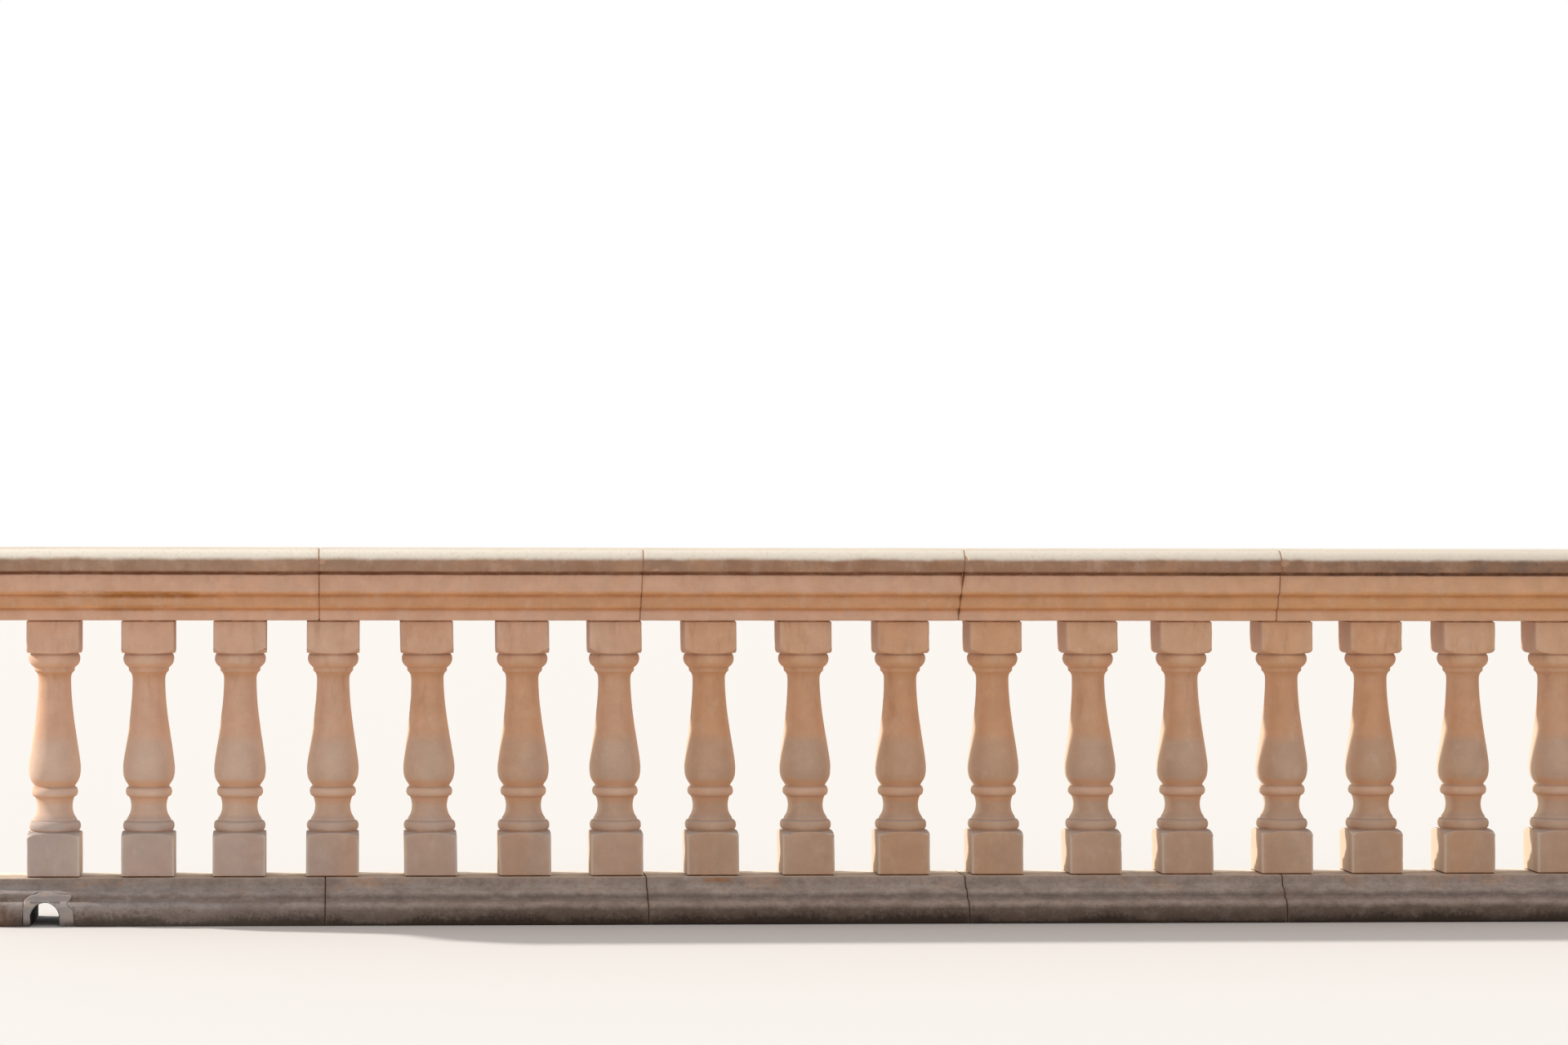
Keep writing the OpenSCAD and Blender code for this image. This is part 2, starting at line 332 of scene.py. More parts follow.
def shapes_of(grid):
    """How sharp each point's arris is and how deep its crease is, both from 0 to 1."""
    n = grid_normals(grid)
    out = np.sum(bend(grid) * n, axis=2)
    arris = np.clip(-out / FULL_BEND, 0, 1)
    crease = np.clip(out / FULL_BEND, 0, 1)
    for _ in range(3):
        for a in (arris, crease):
            a[1:-1] = np.maximum(a[1:-1], 0.25 * (a[2:] + a[:-2]) + 0.5 * a[1:-1])
            a[:] = np.maximum(a, 0.3 * (np.roll(a, 1, 1) + np.roll(a, -1, 1)) + 0.4 * a) * 0.97
    return np.clip(arris, 0, 1), np.clip(crease, 0, 1)


def grid_mesh(name, grid, values):
    """A mesh of the grid with its two ends closed, and its values as point attributes."""
    rows, cols = grid.shape[:2]
    index = np.arange(rows * cols).reshape(rows, cols)
    a, b = index[:-1], np.roll(index, -1, axis=1)[:-1]
    c, d = np.roll(index, -1, axis=1)[1:], index[1:]
    quads = np.stack([a, b, c, d], axis=2).reshape(-1, 4)
    probe = grid.reshape(-1, 3)[quads[0]]
    face_n = np.cross(probe[1] - probe[0], probe[2] - probe[0])
    outward = grid_normals(grid)[0, 0]
    first, last = index[0][::-1].tolist(), index[-1].tolist()
    if np.dot(face_n, outward) < 0:
        quads = quads[:, ::-1]
        first, last = first[::-1], last[::-1]
    mesh = bpy.data.meshes.new(name)
    mesh.from_pydata(grid.reshape(-1, 3).tolist(), [], quads.tolist() + [first, last])
    for key, value in values.items():
        layer = mesh.attributes.new(key, "FLOAT", "POINT")
        layer.data.foreach_set("value", value.reshape(-1).astype(np.float32))
    smooth = [True] * len(quads) + [False, False]
    mesh.polygons.foreach_set("use_smooth", smooth)
    mesh.update()
    return add_object(name, mesh)


def scoop(grid, n, centre, radius, depth, seed):
    """The grid with a rough hollow broken out round a point, and how broken each point is."""
    away = np.linalg.norm(grid - np.array(centre), axis=2) / radius
    away = away * (1 + 0.35 * noise(grid, radius * 0.8, seed))
    strength = np.clip(1 - away**2, 0, 1)
    return grid - n * (strength * depth)[..., None], np.clip(strength * 3, 0, 1)


def hollows(grid, kind, octaves, seed):
    """Depths of small hollows, wherever noise passes a limit."""
    size, limit, depth = kind
    return np.clip(fractal(grid, size, octaves, seed) - limit, 0, 1) * depth


# Wear, as (rounds, its mean, how much it varies, size of the worn places)
RUN_WEAR, BALUSTER_WEAR = (5, 0.45, 0.75, 34 * MM), (4, 0.42, 0.70, 40 * MM)
# Bites out of the arrises and pits in the faces, as (size, the noise they start from, depth)
RUN_BITES, BALUSTER_BITES = (17 * MM, 0.42, 9 * MM), (15 * MM, 0.44, 8 * MM)
RUN_PITS, BALUSTER_PITS = (6.5 * MM, 0.66, 4.5 * MM), (6 * MM, 0.74, 4 * MM)
# How far the faces have worn back on the whole, and the size of the soft waves that this leaves
RUN_SAG, BALUSTER_SAG = (0.45 * MM, 130 * MM), (0.35 * MM, 90 * MM)


# Handrail and plinth stones

RUN_STEP = 7.2 * MM
END_STEPS = np.array([0, 0.8, 2.0, 3.8, 6.2, 9.4, 13.2]) * MM
END_LOSS, END_REACH = 0.9 * MM, 2.2 * MM  # stone lost at a stone's ends, and how far in
LEAN_ROOM = 9 * MM  # how far a leaning joint may pass the end of its node
# how far the stone darkens towards a joint
JOINT_DARK_REACH = 7 * MM
PLAIN_END = 30 * MM  # the run's own two ends are not darkened like joints
FILL_DEPTH, FILL_ROUGH = 3.2 * MM, 1.4 * MM
WANDER, WANDER_SIZE = 0.8 * MM, 40 * MM


def stations(length, step):
    """Distances along a stone, close together near its ends."""
    first = END_STEPS[-1] + step
    count = int(round((length - 2 * first) / step))
    middle = np.linspace(first, length - first, count)
    return np.concatenate([END_STEPS, middle, (length - END_STEPS)[::-1]])


class Joint:
    """An upright joint: its place, how it leans and how it wanders."""

    def __init__(self, x, lean, foot, seed):
        self.x, self.lean, self.foot, self.seed = x, lean, foot, seed

    def at(self, yz):
        """Where the joint's middle lies, for each point of an outline."""
        p = np.stack([np.full(len(yz), self.x), yz[:, 0] * 0.6, yz[:, 1]], axis=1)
        wander = fractal(p, WANDER_SIZE, 2, self.seed) * WANDER
        return self.x + self.lean * (yz[:, 1] - self.foot) + wander


def run_stone(name, outline, start, end, slot_name, seed, chips, open_pits):
    """One worn stone of the handrail or the plinth. start and end are joints, or an end's x."""
    half = JOINT_W / 2
    joint_first, joint_last = isinstance(start, Joint), isinstance(end, Joint)
    x0 = start.at(outline) + half if joint_first else np.full(len(outline), start)
    x1 = end.at(outline) - half if joint_last else np.full(len(outline), end)
    length = x1.mean() - x0.mean()
    u = stations(length, RUN_STEP) / length
    grid = np.empty((len(u), len(outline), 3))
    grid[..., 0] = x0[None] + (x1 - x0)[None] * u[:, None]
    grid[..., 1:] = outline[None]
    arris, crease = shapes_of(grid)
    n = grid_normals(grid)
    end_near = np.minimum(u, 1 - u)[:, None] * length
    ends = np.exp(-end_near / END_REACH)
    jagged = np.clip(0.55 + 0.9 * fractal(grid, 14 * MM, 2, seed + 5), 0, 2)
    sag, sag_size = RUN_SAG
    worn_back = sag * (1 + fractal(grid * [1, 0.5, 0.5], sag_size, 2, seed + 1))
    grid = grid - n * (worn_back + ends * jagged * END_LOSS)[..., None]
    grid = wear(grid, *RUN_WEAR, seed + 2)
    n = grid_normals(grid)
    edge = np.clip(arris * 1.6, 0, 1)
    grid = grid - n * (hollows(grid, RUN_BITES, 2, seed + 3) * edge)[..., None]
    pits = hollows(grid, RUN_PITS, 1, seed + 4) * ramp(fractal(grid, 90 * MM, 2, seed + 6), -0.1, 0.5)
    grid = grid - n * pits[..., None]
    fresh = np.zeros(grid.shape[:2])
    for centre, radius, depth in chips:
        grid, mark = scoop(grid, n, centre, radius, depth, seed + 7)
        fresh = np.maximum(fresh, mark)
    for centre, radius, depth in open_pits:
        grid, _ = scoop(grid, n, centre, radius, depth, seed + 8)
    low, high = (np.array(corner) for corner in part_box(name))
    low[0] -= LEAN_ROOM * joint_first
    high[0] += LEAN_ROOM * joint_last
    grid = np.clip(grid, low, high)
    # darker towards the joints
    joint_dark = np.exp(-end_near / JOINT_DARK_REACH) * np.ones(grid.shape[:2])
    if not joint_first:
        joint_dark *= ramp(u[:, None] * length, 0, PLAIN_END)
    if not joint_last:
        joint_dark *= ramp((1 - u)[:, None] * length, 0, PLAIN_END)
    values = {"arris": arris, "crease": crease, "fresh": fresh, "joint": joint_dark}
    piece = grid_mesh(name + "_stone", grid, values)
    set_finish(piece, slot_name)
    return piece


def joint_fill(name, node, outline, joint, seed):
    """Mortar between two stones, set back from their faces, in its node's height and depth."""
    low, high = (np.array(corner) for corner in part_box(node))
    around = np.roll(outline, -1, 0) - np.roll(outline, 1, 0)
    out = np.stack([around[:, 1], -around[:, 0]], axis=1)
    out /= np.linalg.norm(out, axis=1, keepdims=True)
    if np.sum(out * (outline - outline.mean(axis=0))) < 0:
        out = -out
    places = np.linspace(-0.75, 0.75, 4)
    grid = np.empty((len(places), len(outline), 3))
    grid[..., 0] = joint.at(outline) + places[:, None] * JOINT_W
    grid[..., 1:] = outline - out * FILL_DEPTH
    rough = np.clip(0.6 + fractal(grid, 11 * MM, 3, seed), 0, 2) * FILL_ROUGH
    grid = grid - grid_normals(grid) * rough[..., None]
    grid[..., 1:] = np.clip(grid[..., 1:], low[1:], high[1:])
    zero = np.zeros(grid.shape[:2])
    return grid_mesh(name, grid, {"arris": zero, "crease": zero + 1, "fresh": zero, "joint": zero + 1})


def node_outline(node, step):
    """The outline of a run stone in its (y, z) plane, fine enough to be worn."""
    low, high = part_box(node)
    cut = section(node, ((low.x + 2 * high.x) / 3, 0, 0), (1, 0, 0))
    return fine_outline(tidy_outline(cut[:, 1:], True), True, step)


def rail_step(p):
    """Coarse steps under the handrail and on its top, fine ones on the members."""
    hidden = abs(p[0]) < 60 * MM and p[1] < RAIL_FOOT + 5 * MM
    return (14 if hidden else 8 if p[1] > RAIL_TOP - 1 * MM else 5.5) * MM


def plinth_step(p):
    """Coarse steps under the plinth and on its top, fine ones on the members."""
    return (30 if p[1] < 1 * MM else 9 if p[1] > PLINTH_TOP - 1 * MM else 5.5) * MM


rail_outline = node_outline("handrail_2", rail_step)
plinth_outline = node_outline("plinth_2", plinth_step)


def joints_of(kind, leans, middle_z, seed):
    """The upright joints of a run, from left to right."""
    ends = [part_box(f"{kind}_{i}") for i in range(1, BAYS + 1)]
    return [
        Joint((a[1].x + b[0].x) / 2, lean, middle_z, seed + i)
        for i, (a, b, lean) in enumerate(zip(ends, ends[1:], leans))
    ]


# How far each joint leans to the right for each metre up
RAIL_LEANS = [0.0, 0.040, 0.075, 0.030, -0.020]
PLINTH_LEANS = [0.010, -0.030, -0.050, -0.015, 0.025]
rail_joints = joints_of("handrail", RAIL_LEANS, (RAIL_TOP + RAIL_FOOT) / 2, SEED)
plinth_joints = joints_of("plinth", PLINTH_LEANS, PLINTH_TOP / 2, SEED + 10)


def ends_of(i, joints):
    """What bounds stone i of a run: a joint, or the x of an end of the run."""
    return LEFT_END if i == 1 else joints[i - 2], RIGHT_END if i == BAYS else joints[i - 1]


# Chips that show at the handrail's joints, as ((x, y, z), radius, depth)
NOSE_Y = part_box("handrail_1")[0].y
RAIL_CHIPS = {
    2: [((-1.594, NOSE_Y, RAIL_TOP - 34 * MM), 9 * MM, 4 * MM)],
    3: [((-0.768, NOSE_Y + 2 * MM, RAIL_TOP - 60 * MM), 12 * MM, 3 * MM)],
    4: [((0.006, NOSE_Y + 4 * MM, RAIL_TOP - 22 * MM), 10 * MM, 4 * MM)],
    5: [((0.807, NOSE_Y, RAIL_TOP - 33 * MM), 12 * MM, 6 * MM)],
}
# Open pits in the plinth's front, in the same form
PLINTH_PITS = {
    5: [((0.624, -0.083, 92 * MM), 6 * MM, 4 * MM)],
    6: [((0.905, -0.092, 82 * MM), 6 * MM, 4 * MM), ((1.252, -0.082, 102 * MM), 5 * MM, 4 * MM)],
}

for i in range(1, BAYS + 1):
    start, end = ends_of(i, rail_joints)
    stone = run_stone(
        f"handrail_{i}", rail_outline, start, end, "handrail_stone", SEED + 40 + i,
        RAIL_CHIPS.get(i, []), [],
    )
    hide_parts(f"handrail_{i}")
    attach(stone, "root")

for i in range(1, BAYS + 1):
    start, end = ends_of(i, plinth_joints)
    stone = run_stone(
        f"plinth_{i}", plinth_outline, start, end, "plinth_stone", SEED + 60 + i, [],
        PLINTH_PITS.get(i, []),
    )
    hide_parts(f"plinth_{i}")
    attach(stone, "root")

for kind, outline, joints, node in (
    ("handrail", rail_outline, rail_joints, "handrail_mortar"),
    ("plinth", plinth_outline, plinth_joints, "plinth_mortar"),
):
    for i, joint in enumerate(joints):
        fill = joint_fill(f"{kind}_joint_{i + 1}", node, outline, joint, SEED + 80 + i)
        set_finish(fill, "joint_mortar")
        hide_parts(node)
        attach(fill, "root")


# Balusters


def half_outline(node):
    """The turned outline on the diagonal of a baluster, as distances from its axis and heights."""
    low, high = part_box(node)
    middle = (low + high) / 2
    cut = section(node, middle, (1, -1, 0))
    r = (cut[:, 0] - middle.x) / math.sqrt(0.5)
    one_side = [(a, z) for a, z in zip(r, cut[:, 2]) if a > 1 * MM]
    return np.array(one_side)


def ordered_up(points):
    """Starts an outline at its foot and runs it to its head."""
    jumps = np.linalg.norm(np.roll(points, -1, 0) - points, axis=1)
    points = np.roll(points, -int(np.argmax(jumps)) - 1, axis=0)
    return points if points[0, 1] < points[-1, 1] else points[::-1]


TURNED = tidy_outline(ordered_up(half_outline("baluster_03")), False)
bal_low, bal_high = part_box("baluster_03")
BLOCK_HALF = (bal_high.x - bal_low.x) / 2
ARRIS_R = 4 * MM
SIDE_POINTS = 20
CROWDING = 0.38  # how much a block's directions crowd towards its corners
CORNER_R = (BLOCK_HALF - ARRIS_R) * math.sqrt(2) + ARRIS_R


def block_round(count):
    """Directions round a baluster, closer together towards the blocks' corners, and the
    block's distance from the axis in each."""
    angles, radii = [], []
    for side in range(4):
        for k in range(count):
            s = 2 * k / count - 1
            t = (1 - CROWDING) * s + CROWDING * math.sin(s * math.pi / 2)
            a = math.atan(t)
            r = BLOCK_HALF / math.cos(a)
            inner = BLOCK_HALF - ARRIS_R
            if BLOCK_HALF * abs(t) > inner:
                d = inner * (math.cos(abs(a)) + math.sin(abs(a)))
                r = d + math.sqrt(max(d * d - 2 * inner * inner + ARRIS_R**2, 0))
            angles.append(a + side * math.pi / 2)
            radii.append(r)
    return np.array(angles), np.array(radii)


ANGLES, BLOCK_R = block_round(SIDE_POINTS)
# Heights of the long smooth members over the foot, in millimetres
HOLLOW, BELLY_AND_NECK = (146, 186), (245, 480)


def split_turned():
    """The turned outline in three: foot shoulder, the members between the blocks, head shoulder."""
    outer = [i for i, p in enumerate(TURNED) if p[0] > CORNER_R - 0.5 * MM]
    start, end = outer[1], outer[-2]
    upright = [
        i for i in range(start, end) if abs(TURNED[i + 1, 0] - TURNED[i, 0]) < 0.05 * MM
    ]
    low, high = upright[0], upright[-1] + 1
    return TURNED[start : low + 1], TURNED[low : high + 1], TURNED[high : end + 1]


def member_step(p):
    """Fine steps on the rings and coarser ones along the hollow, the belly and the neck."""
    z = (p[1] - bal_low.z) / MM
    if BELLY_AND_NECK[0] < z < BELLY_AND_NECK[1]:
        return 8 * MM
    return (7 if HOLLOW[0] < z < HOLLOW[1] else 5.2) * MM


def shoulder_rows(outline, block_z, rows_up, rows_block):
    """Rows of a block and its shoulder. Each row follows the line where the turning runs out."""
    order = outline if outline[0, 0] > outline[-1, 0] else outline[::-1]
    radius, height = order[:, 0], order[:, 1]
    meet = np.interp(-BLOCK_R, -radius, height)
    block = [
        np.stack([BLOCK_R, block_z + (meet - block_z) * t], axis=1)
        for t in np.concatenate([[0, 0.012], np.linspace(0.05, 0.95, rows_block), [0.985]])
    ]
    rise = []
    for t in np.linspace(0, 1, rows_up):
        r = BLOCK_R + (radius[-1] - BLOCK_R) * t
        rise.append(np.stack([r, np.interp(-r, -radius, height)], axis=1))
    return block + rise


def baluster_rows():
    """All rows from foot to head, each with a radius and a height for every direction."""
    foot, members, head = split_turned()
    rows = shoulder_rows(foot, bal_low.z, 6, 10)
    ring = fine_outline(members, False, member_step)
    for r, z in ring[1:-1]:
        rows.append(np.stack([np.full(len(ANGLES), r), np.full(len(ANGLES), z)], axis=1))
    rows += shoulder_rows(head, bal_high.z, 6, 8)[::-1]
    return np.array(rows)


ROWS = baluster_rows()

# How far each baluster's foot stands to the right of its head, in millimetres
BALUSTER_LEANS = [1, 1, -1, -1, 12, 7, 6, 9, 10, 4, 7, 14, 7, 4, 6, 4, 10, 3, -2, 5]


def baluster_stone(name, seed, lean):
    """One worn baluster, set at its CAD node and a little out of plumb."""
    low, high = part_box(name)
    middle = (low + high) / 2
    grid = np.empty((*ROWS.shape[:2], 3))
    grid[..., 0] = middle.x + ROWS[..., 0] * np.cos(ANGLES)
    grid[..., 1] = middle.y + ROWS[..., 0] * np.sin(ANGLES)
    grid[..., 2] = ROWS[..., 1]
    arris, crease = shapes_of(grid)
    n = grid_normals(grid)
    sag, sag_size = BALUSTER_SAG
    grid = grid - n * (sag * (1 + fractal(grid, sag_size, 2, seed)))[..., None]
    grid = wear(grid, *BALUSTER_WEAR, seed + 1)
    n = grid_normals(grid)
    edge = np.clip(arris * 1.6, 0, 1)
    bites = hollows(grid, BALUSTER_BITES, 2, seed + 2)
    pits = hollows(grid, BALUSTER_PITS, 1, seed + 3)
    grid = grid - n * (bites * edge + pits)[..., None]
    grid = np.clip(grid, np.array(low), np.array(high))
    grid[..., 0] += lean * (0.5 - (grid[..., 2] - low.z) / (high.z - low.z))
    zero = np.zeros(grid.shape[:2])
    values = {"arris": arris, "crease": crease, "fresh": zero, "joint": zero}
    piece = grid_mesh(name + "_stone", grid, values)
    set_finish(piece, "baluster_stone")
    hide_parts(name)
    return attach(piece, "root")


baluster_names = sorted(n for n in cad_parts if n.startswith("baluster_"))
for i, name in enumerate(baluster_names):
    baluster_stone(name, SEED + 200 + 7 * i, BALUSTER_LEANS[i] * MM)


BED_INSET, BED_RAGGED = 2.5 * MM, 3.5 * MM  # from a block's faces in, and further in places


def bed_pads(node, share, seed):
    """The mortar beds at one end of the balusters, with uneven edges. share is the part of
    each lean by which that end stands to the side."""
    low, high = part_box(node)
    points, faces = [], []
    per_side = 18
    for i, name in enumerate(baluster_names):
        b_low, b_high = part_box(name)
        middle = (b_low.x + b_high.x) / 2 + BALUSTER_LEANS[i] * MM * share
        t = np.linspace(-1, 1, per_side + 1)[:-1]
        one = np.ones(per_side)
        square = np.concatenate(
            [np.stack(pair, axis=1) for pair in ((t, -one), (one, t), (-t, one), (-one, -t))]
        )
        half = BLOCK_HALF - BED_INSET
        flat = np.column_stack([middle + square[:, 0] * half, square[:, 1] * half, 0 * square[:, 0]])
        inset = np.clip(0.5 + fractal(flat, 16 * MM, 3, seed), 0, 1)[:, None] * BED_RAGGED
        flat[:, :2] -= square / np.linalg.norm(square, axis=1, keepdims=True) * inset
        start = len(points)
        count = len(flat)
        for z in (low.z, high.z):
            points += [(x, y, z) for x, y, _ in flat]
        below, above = range(start, start + count), range(start + count, start + 2 * count)
        faces += [
            (below[k], below[(k + 1) % count], above[(k + 1) % count], above[k]) for k in range(count)
        ]
        faces += [tuple(reversed(below)), tuple(above)]
    mesh = bpy.data.meshes.new(node + "_beds")
    mesh.from_pydata(points, [], faces)
    for key in POINT_VALUES:
        mesh.attributes.new(key, "FLOAT", "POINT")
    piece = add_object(node + "_beds", mesh)
    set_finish(piece, "joint_mortar")
    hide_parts(node)
    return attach(piece, "root")


bed_pads("foot_mortar", 0.5, SEED + 120)
bed_pads("head_mortar", -0.5, SEED + 121)


# Drain: its passage and the repair's pocket are cut from the first plinth stone

BELOW_FLOOR = -10 * MM
PAST_STONE = 0.15  # half the length of a cutter
BEHIND_REPAIR = 60 * MM


def prism(name, outline, y0, y1):
    """A solid with that outline in (x, z), from y0 to y1."""
    count = len(outline)
    points = [(x, y, z) for y in (y0, y1) for x, z in outline]
    sides = [(k, (k + 1) % count, count + (k + 1) % count, count + k) for k in range(count)]
    mesh = bpy.data.meshes.new(name)
    mesh.from_pydata(points, [], sides + [tuple(range(count))[::-1], tuple(range(count, 2 * count))])
    bm = bmesh.new()
    bm.from_mesh(mesh)
    bmesh.ops.recalc_face_normals(bm, faces=bm.faces)
    bm.to_mesh(mesh)
    bm.free()
    return add_object(name, mesh)


def cut_away(piece, cutter):
    """Takes the cutter's space out of a piece, for good."""
    tool = piece.modifiers.new("cut", "BOOLEAN")
    tool.operation = "DIFFERENCE"
    tool.solver = "MANIFOLD"
    tool.object = cutter
    graph = bpy.context.evaluated_depsgraph_get()
    cut = bpy.data.meshes.new_from_object(piece.evaluated_get(graph))
    piece.modifiers.remove(tool)
    old, piece.data = piece.data, cut
    bpy.data.meshes.remove(old)
    bpy.data.objects.remove(cutter)


def passage_outline():
    """The drain's arch in (x, z), read behind the repair and let down below the floor."""
    low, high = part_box("drain_mortar")
    cut = section("plinth_1", (0, BEHIND_REPAIR, 0), (0, 1, 0))
    arch = [(p[0], p[2]) for p in cut if low.x < p[0] < high.x and 1 * MM < p[2] < high.z]
    arch.sort(key=lambda p: math.atan2(p[1] + 30 * MM, -(p[0] - (low.x + high.x) / 2)))
    return [(arch[0][0], BELOW_FLOOR)] + arch + [(arch[-1][0], BELOW_FLOOR)]


def pocket_outline():
    """The repair's outline in (x, z), let down below the floor."""
    low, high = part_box("drain_mortar")
    cut = section("drain_mortar", (0, low.y + 30 * MM, 0), (0, 1, 0))
    loop = np.stack([cut[:, 0], cut[:, 2]], axis=1)
    loop[:, 1] = np.where(loop[:, 1] < 0.5 * MM, BELOW_FLOOR, loop[:, 1])
    return [tuple(p) for p in loop]


def copy_values(piece, source):
    """Gives a piece the point values of the nearest points of a mesh."""
    tree = KDTree(len(source.vertices))
    for i, v in enumerate(source.vertices):
        tree.insert(v.co, i)
    tree.balance()
    nearest = [tree.find(v.co)[1] for v in piece.data.vertices]
    for key in POINT_VALUES:
        value = np.empty(len(source.vertices), np.float32)
        source.attributes[key].data.foreach_get("value", value)
        old = piece.data.attributes.get(key)
        if old:
            piece.data.attributes.remove(old)
        layer = piece.data.attributes.new(key, "FLOAT", "POINT")
        layer.data.foreach_set("value", value[nearest])


first_plinth = bpy.data.objects["plinth_1_stone"]
whole = first_plinth.data.copy()
cut_away(first_plinth, prism("passage", passage_outline(), -PAST_STONE, PAST_STONE))
_, collar_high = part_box("drain_mortar")
cut_away(first_plinth, prism("pocket", pocket_outline(), -PAST_STONE, collar_high.y))
copy_values(first_plinth, whole)
bpy.data.meshes.remove(whole)


COLLAR_CELL = 2.2 * MM
COLLAR_LUMP, MOST_LUMP = 1.1 * MM, 0.6 * MM


def collar_piece():
    """The repair mortar round the drain, trowelled by hand: its solid, remeshed and worn."""
    piece = add_object("drain_collar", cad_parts["drain_mortar"].data.copy())
    remesh = piece.modifiers.new("remesh", "REMESH")
    remesh.mode = "VOXEL"
    remesh.voxel_size = COLLAR_CELL
    remesh.use_smooth_shade = True
    graph = bpy.context.evaluated_depsgraph_get()
    fine = bpy.data.meshes.new_from_object(piece.evaluated_get(graph))
    piece.modifiers.clear()
    piece.data = fine
    bm = bmesh.new()
    bm.from_mesh(fine)
    for _ in range(4):
        bmesh.ops.smooth_vert(
            bm, verts=bm.verts, factor=0.5, use_axis_x=True, use_axis_y=True, use_axis_z=True
        )
    bm.normal_update()
    points = np.array([v.co[:] for v in bm.verts])
    lumps = fractal(points, 28 * MM, 3, SEED + 300) * COLLAR_LUMP
    for v, lump in zip(bm.verts, lumps):
        v.co += v.normal * float(min(lump, MOST_LUMP))
        v.co.z = max(v.co.z, 0)
        v.co.y = max(v.co.y, cad_low.y)
    bm.to_mesh(fine)
    bm.free()
    for key in POINT_VALUES:
        fine.attributes.new(key, "FLOAT", "POINT")
    return piece


collar = collar_piece()
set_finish(collar, "repair_mortar")
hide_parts("drain_mortar")
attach(collar, "root")


# Materials


SPECULAR = 0.25


class Nodes:
    """Short ways to build a node material. x and the offset of a noise are in metres, and
    every other length is in millimetres."""

    def __init__(self, name):
        self.material = bpy.data.materials.new(name)
        self.material.use_nodes = True
        self.tree = self.material.node_tree
        self.tree.nodes.clear()
        self.place = self.add("ShaderNodeTexCoord").outputs["Object"]
        split = self.add("ShaderNodeSeparateXYZ", Vector=self.place)
        self.x, y, z = split.outputs
        self.y, self.z = self.math("DIVIDE", y, MM), self.math("DIVIDE", z, MM)
        self.colour = None

    def add(self, kind, **values):
        node = self.tree.nodes.new(kind)
        for key, value in values.items():
            self.put(node.inputs[key.replace("_", " ")], value)
        return node

    def put(self, socket, value):
        if isinstance(value, bpy.types.NodeSocket):
            self.tree.links.new(value, socket)
        elif isinstance(value, tuple) and len(value) == 3 and len(socket.default_value) == 4:
            socket.default_value = (*value, 1.0)
        else:
            socket.default_value = value

    def math(self, operation, a, b=0.0):
        node = self.tree.nodes.new("ShaderNodeMath")
        node.operation = operation
        self.put(node.inputs[0], a)
        self.put(node.inputs[1], b)
        return node.outputs[0]

    def span(self, value, low, high, to_low=0.0, to_high=1.0, smooth=True):
        node = self.tree.nodes.new("ShaderNodeMapRange")
        node.interpolation_type = "SMOOTHSTEP" if smooth else "LINEAR"
        for socket, v in zip(node.inputs, (value, low, high, to_low, to_high)):
            self.put(socket, v)
        return node.outputs["Result"]

    def noise(self, size, detail=3.0, rough=0.55, stretch=(1, 1, 1), offset=0.0):
        """Noise from 0 to 1 with features of that size. The offset takes another part of it."""
        scaled = self.add("ShaderNodeMapping", Vector=self.place)
        scaled.inputs["Scale"].default_value = stretch
        scaled.inputs["Location"].default_value = (offset, offset * 0.7, offset * 1.3)
        node = self.add("ShaderNodeTexNoise", Vector=scaled.outputs[0])
        node.inputs["Scale"].default_value = 1 / (size * MM)
        node.inputs["Detail"].default_value = detail
        node.inputs["Roughness"].default_value = rough
        return node.outputs["Fac"]

    def patches(self, low, high, *look, **more):
        """1 where noise lies over high, 0 where it lies under low."""
        return self.span(self.noise(*look, **more), low, high)

    def sway(self, reach, *look, **more):
        """Noise as a distance, up to about reach to either side."""
        return self.span(self.noise(*look, **more), 0.25, 0.75, -reach, reach, False)

    def zone(self, value, low, high, soft):
        """1 between two values and 0 beyond them, with soft borders."""
        rising = self.span(value, low - soft, low + soft)
        falling = self.span(value, high - soft, high + soft, 1.0, 0.0)
        return self.math("MULTIPLY", rising, falling)

    def mix(self, factor, a, b, blend="MIX"):
        node = self.tree.nodes.new("ShaderNodeMix")
        node.data_type = "RGBA"
        node.blend_type = blend
        self.put(node.inputs[0], factor)
        self.put(node.inputs[6], a)
        self.put(node.inputs[7], b)
        return node.outputs[2]

    def value(self, name):
        node = self.tree.nodes.new("ShaderNodeAttribute")
        node.attribute_name = name
        return node.outputs["Fac"]

    def facing(self, axis):
        """How far a surface faces along an axis, from -1 to 1."""
        split = self.add("ShaderNodeSeparateXYZ", Vector=self.add("ShaderNodeNewGeometry").outputs["Normal"])
        return split.outputs[axis]

    def up(self):
        return self.facing(2)

    def left(self):
        return self.math("MULTIPLY", self.facing(0), -1.0)

    def bands(self, height, members, blend):
        """Colours by height, for members one after another which blend where they meet."""
        stops, start = [], 0
        for tall, colour in members:
            soft = min(blend, tall / 2.5)
            stops += [(start + soft, colour), (start + tall - soft, colour)]
            start += tall
        low, high = stops[0][0], stops[-1][0]
        node = self.tree.nodes.new("ShaderNodeValToRGB")
        self.put(node.inputs[0], self.span(height, low, high, smooth=False))
        elements = node.color_ramp.elements
        while len(elements) < len(stops):
            elements.new(0.5)
        for element, (at, _) in zip(elements, stops):
            element.position = (at - low) / (high - low)
        for element, (_, colour) in zip(elements, stops):
            element.color = (*linear(colour), 1.0)
        return node.outputs["Color"]

    def stain(self, factors, strength, to):
        """Lays a colour over the stone's own where all the factors are high."""
        total = strength
        for factor in factors:
            total = self.math("MULTIPLY", factor, total)
        self.colour = self.mix(total, self.colour, linear(to))

